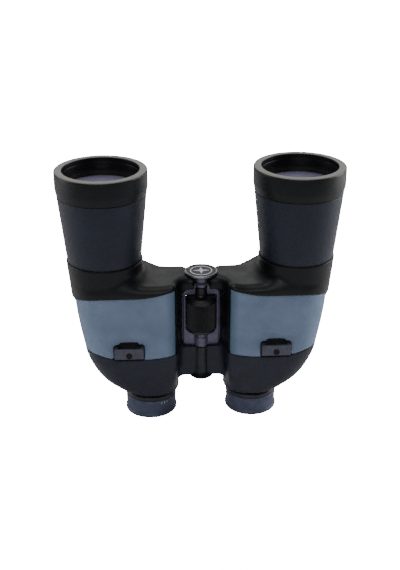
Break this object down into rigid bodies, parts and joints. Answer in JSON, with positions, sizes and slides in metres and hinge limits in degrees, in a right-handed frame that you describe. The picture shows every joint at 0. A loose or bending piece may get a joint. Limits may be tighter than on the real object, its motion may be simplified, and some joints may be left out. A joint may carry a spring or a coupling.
{
  "type": "binoculars",
  "caption": "Full-size porro-prism binoculars with rubber armour, coloured side panels, centre focus wheel, folding hinge, strap lugs and a capped tripod socket.",
  "frame": {"origin": "middle of the box on the plane that the eyecup rims stand on", "axes": "+Z along the optical axes towards the objectives; -Y towards the side with the focus wheel; the hinge axis is upright at x = 0, y = -5.75 mm"},
  "size_m": [0.194, 0.0654, 0.182],
  "materials": {
    "black_rubber": "matte moulded rubber",
    "slate_rubber": "matte moulded rubber",
    "barrel_rubber": "matte moulded rubber with fine grain",
    "blue_panel": "satin soft-touch rubber",
    "eyecup_rubber": "matte rubber",
    "housing_plastic": "fine moulded texture",
    "grey_casting": "painted satin",
    "ring_plastic": "satin",
    "black_anodised": "black anodised",
    "lens_glass": "coated optical glass",
    "prism_glass": "polished optical glass",
    "spring_steel": "brushed",
    "bush_steel": "dark satin",
    "cap_plastic": "satin",
    "badge_metal": "turned rim, dark painted face",
    "wheel_plastic": "satin",
    "grip_rubber": "matte ribbed rubber",
    "nut_brass": "machined"
  },
  "bodies": {
    "left_half": {"left_front_armour": "black_rubber", "left_rim_bumper": "black_rubber", "left_rear_armour": "slate_rubber", "left_objective_barrel": "barrel_rubber", "left_side_panel": "blue_panel", "left_prism_housing": "housing_plastic", "left_hinge_bracket": "grey_casting", "left_strap_lug": "grey_casting", "left_objective_cell": "black_anodised", "left_objective_retainer": "black_anodised", "left_prism_shelf": "black_anodised", "left_crown_lens": "lens_glass", "left_flint_lens": "lens_glass", "left_objective_prism": "prism_glass", "left_ocular_prism": "prism_glass", "left_prism_clips": "spring_steel", "left_lug_rivet": "spring_steel", "hinge_boss": "housing_plastic", "tripod_bush": "bush_steel", "pivot_sleeve": "bush_steel", "hinge_cover": "housing_plastic", "rear_end_cap": "housing_plastic"},
    "right_half": {"right_front_armour": "black_rubber", "right_rim_bumper": "black_rubber", "right_rear_armour": "slate_rubber", "right_objective_barrel": "barrel_rubber", "right_side_panel": "blue_panel", "right_prism_housing": "housing_plastic", "right_hinge_bracket": "grey_casting", "right_strap_lug": "grey_casting", "right_objective_cell": "black_anodised", "right_objective_retainer": "black_anodised", "right_prism_shelf": "black_anodised", "right_crown_lens": "lens_glass", "right_flint_lens": "lens_glass", "right_objective_prism": "prism_glass", "right_ocular_prism": "prism_glass", "right_prism_clips": "spring_steel", "right_lug_rivet": "spring_steel"},
    "tripod_cap": {"tripod_cap": "cap_plastic", "cap_badge": "badge_metal"},
    "focus_wheel": {"focus_wheel": "wheel_plastic", "wheel_grip": "grip_rubber", "focus_spindle": "bush_steel"},
    "focus_nut": {"focus_nut": "nut_brass"},
    "left_ocular": {"left_eyepiece_tube": "black_anodised", "left_field_lens": "lens_glass", "left_yoke_arm": "spring_steel"},
    "left_diopter": {"left_eyepiece_ring": "ring_plastic", "left_eyecup": "eyecup_rubber"},
    "left_eye_cell": {"left_eye_lens_cell": "black_anodised", "left_eye_lens": "lens_glass"},
    "right_ocular": {"right_eyepiece_tube": "black_anodised", "right_field_lens": "lens_glass", "right_yoke_arm": "spring_steel", "right_eyepiece_ring": "ring_plastic", "right_eyecup": "eyecup_rubber", "right_eye_lens_cell": "black_anodised", "right_eye_lens": "lens_glass"}
  },
  "joints": [
    {"name": "interpupillary_fold", "type": "hinge", "parent": "left_half", "child": "right_half", "pos_m": [0, -0.00575, 0.06], "axis": [0, 0, 1], "range_deg": [-4, 66]},
    {"name": "focus_turn", "type": "hinge", "parent": "left_half", "child": "focus_wheel", "pos_m": [0, -0.00575, 0.079], "axis": [0, 0, -1], "range_deg": [-108.5, 330.5]},
    {"name": "left_ocular_slide", "type": "slide", "parent": "left_half", "child": "left_ocular", "axis": [0, 0, -1], "range_m": [-0.0018, 0.0055]},
    {"name": "right_ocular_slide", "type": "slide", "parent": "right_half", "child": "right_ocular", "axis": [0, 0, -1], "range_m": [-0.00181, 0.00551]},
    {"name": "focus_nut_slide", "type": "slide", "parent": "left_half", "child": "focus_nut", "axis": [0, 0, -1], "range_m": [-0.00181, 0.00551]},
    {"name": "diopter_turn", "type": "hinge", "parent": "left_ocular", "child": "left_diopter", "pos_m": [-0.0363, -0.00175, 0.008], "axis": [0, 0, 1], "range_deg": [-50, 50]},
    {"name": "eye_cell_slide", "type": "slide", "parent": "left_ocular", "child": "left_eye_cell", "axis": [0, 0, 1], "range_m": [-0.00121, 0.00121]},
    {"name": "tripod_cap_lift", "type": "slide", "parent": "left_half", "child": "tripod_cap", "axis": [0, 0, 1], "range_m": [0, 0.09]}
  ],
  "couplings": [
    {"joint": "focus_turn", "follows": "left_ocular_slide", "rad_per_m": 1047.2},
    {"joint": "right_ocular_slide", "follows": "left_ocular_slide", "ratio": 1},
    {"joint": "focus_nut_slide", "follows": "left_ocular_slide", "ratio": 1},
    {"joint": "eye_cell_slide", "follows": "diopter_turn", "m_per_rad": 0.001375}
  ]
}
